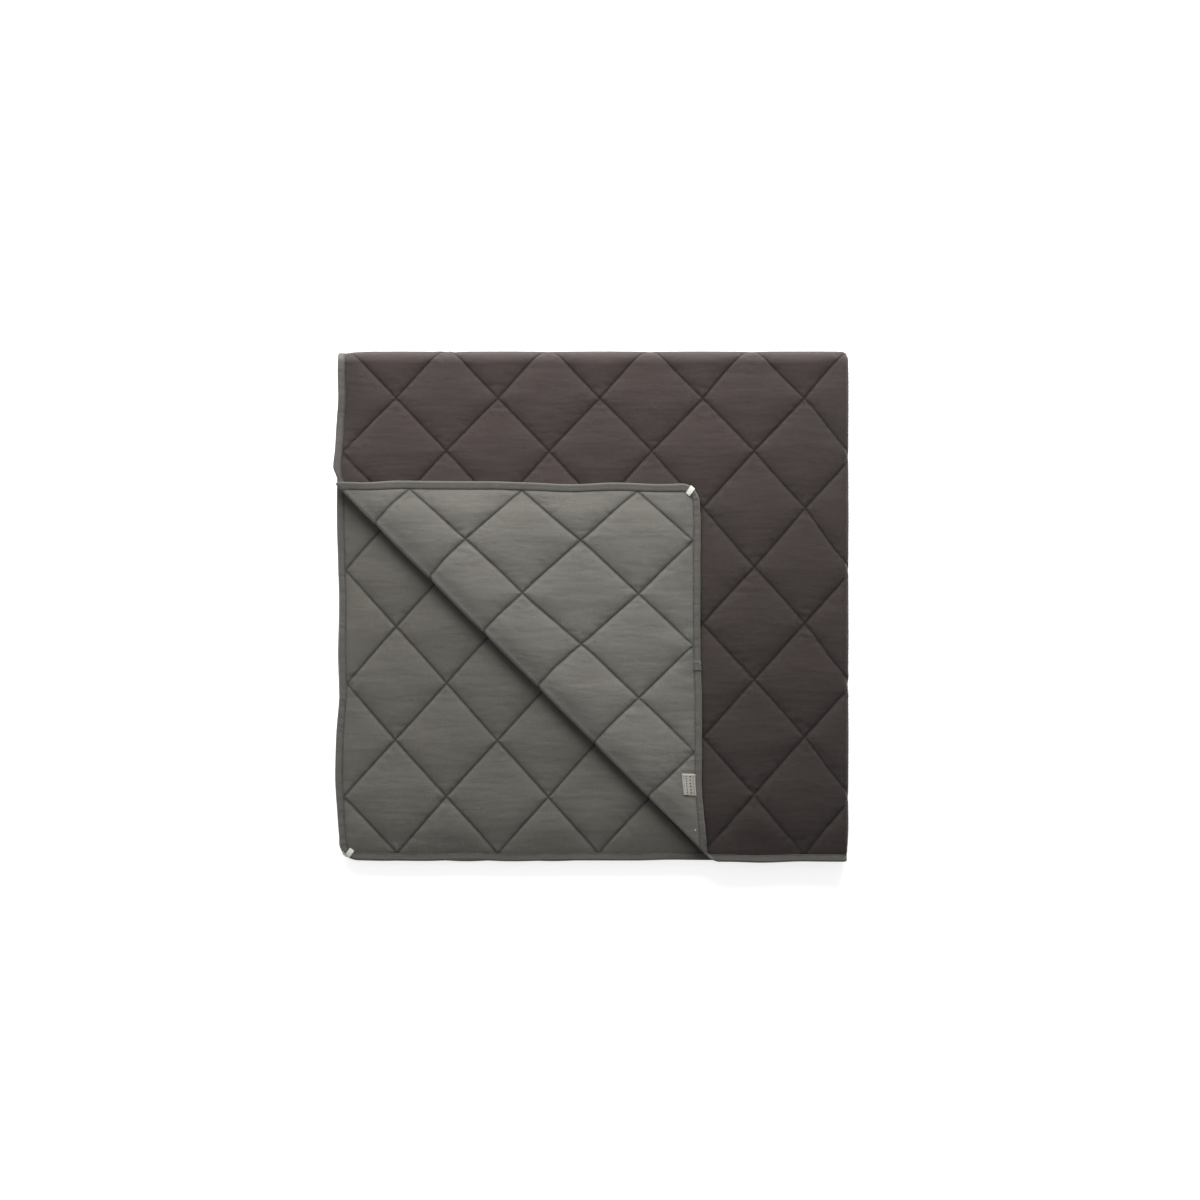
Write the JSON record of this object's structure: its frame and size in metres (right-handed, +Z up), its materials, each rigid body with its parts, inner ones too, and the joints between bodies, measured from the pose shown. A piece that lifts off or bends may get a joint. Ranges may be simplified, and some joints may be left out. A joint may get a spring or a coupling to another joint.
{
  "type": "quilted camp blanket",
  "caption": "Two-tone diamond-quilted square camp blanket folded in four, edge-bound, with corner loops and one corner turned back to show its lining.",
  "frame": {"origin": "centre of the folded blanket's plan, on the ground that it lies on", "axes": "+Z up; -X the bound free edges at the left; -Y the bound free edges at the front; +X the side folds; +Y the nested end folds"},
  "size_m": [0.75, 0.7499, 0.0493],
  "materials": {
    "face_cloth": "dark brown-charcoal plain-weave polyester, soft matt",
    "lining": "warm mid-grey plain-weave polyester, soft matt",
    "wadding": "white fibre wadding",
    "binding_tape": "grey folded polyester binding tape",
    "face_thread": "dark quilting thread",
    "lining_thread": "dark grey thread",
    "loop_tape": "off-white woven cotton tape",
    "label": "cream satin-woven label"
  },
  "bodies": {
    "lower_half": {"bottom_face_cloth": "face_cloth", "bottom_wadding": "wadding", "bottom_lining": "lining", "bottom_binding": "binding_tape", "bottom_quilting_thread": "lining_thread", "bottom_binding_stitching": "lining_thread", "bottom_corner_loop": "loop_tape", "third_face_cloth": "face_cloth", "third_wadding": "wadding", "third_lining": "lining", "third_binding": "binding_tape", "third_quilting_thread": "face_thread", "third_binding_stitching": "lining_thread", "third_corner_loop": "loop_tape", "lower_side_fold_face_cloth": "face_cloth", "lower_side_fold_wadding": "wadding", "lower_side_fold_lining": "lining", "lower_side_fold_binding": "binding_tape", "end_fold_face_cloth": "face_cloth", "end_fold_wadding": "wadding", "end_fold_lining": "lining", "end_fold_outer_binding": "binding_tape", "end_fold_inner_binding": "binding_tape"},
    "upper_half": {"second_face_cloth": "face_cloth", "second_wadding": "wadding", "second_lining": "lining", "second_binding": "binding_tape", "second_quilting_thread": "lining_thread", "second_binding_stitching": "lining_thread", "second_corner_loop": "loop_tape", "top_face_cloth": "face_cloth", "top_wadding": "wadding", "top_lining": "lining", "top_left_binding": "binding_tape", "top_front_binding": "binding_tape", "top_quilting_thread": "face_thread", "top_binding_stitching": "lining_thread", "upper_side_fold_face_cloth": "face_cloth", "upper_side_fold_wadding": "wadding", "upper_side_fold_lining": "lining", "upper_side_fold_binding": "binding_tape", "corner_fold_face_cloth": "face_cloth", "corner_fold_wadding": "wadding", "corner_fold_lining": "lining", "corner_fold_left_binding": "binding_tape", "corner_fold_front_binding": "binding_tape"},
    "turned_corner": {"flap_face_cloth": "face_cloth", "flap_wadding": "wadding", "flap_lining": "lining", "flap_binding": "binding_tape", "flap_quilting_thread": "lining_thread", "flap_binding_stitching": "lining_thread", "flap_corner_loop": "loop_tape", "binding_join": "binding_tape", "woven_label": "label", "label_seam": "lining_thread"}
  },
  "joints": [
    {"name": "open_half", "type": "hinge", "parent": "lower_half", "child": "upper_half", "pos_m": [0, 0.3555, 0.0195], "axis": [-1, 0, 0], "range_deg": [0, 177], "deforming": ["end_fold_face_cloth", "end_fold_wadding", "end_fold_lining", "end_fold_outer_binding", "end_fold_inner_binding"]},
    {"name": "corner_turn", "type": "hinge", "parent": "upper_half", "child": "turned_corner", "pos_m": [-0.096, -0.096, 0.0395], "axis": [0.7071, -0.7071, 0], "range_deg": [0, 178], "deforming": ["corner_fold_face_cloth", "corner_fold_wadding", "corner_fold_lining", "corner_fold_left_binding", "corner_fold_front_binding"]}
  ]
}
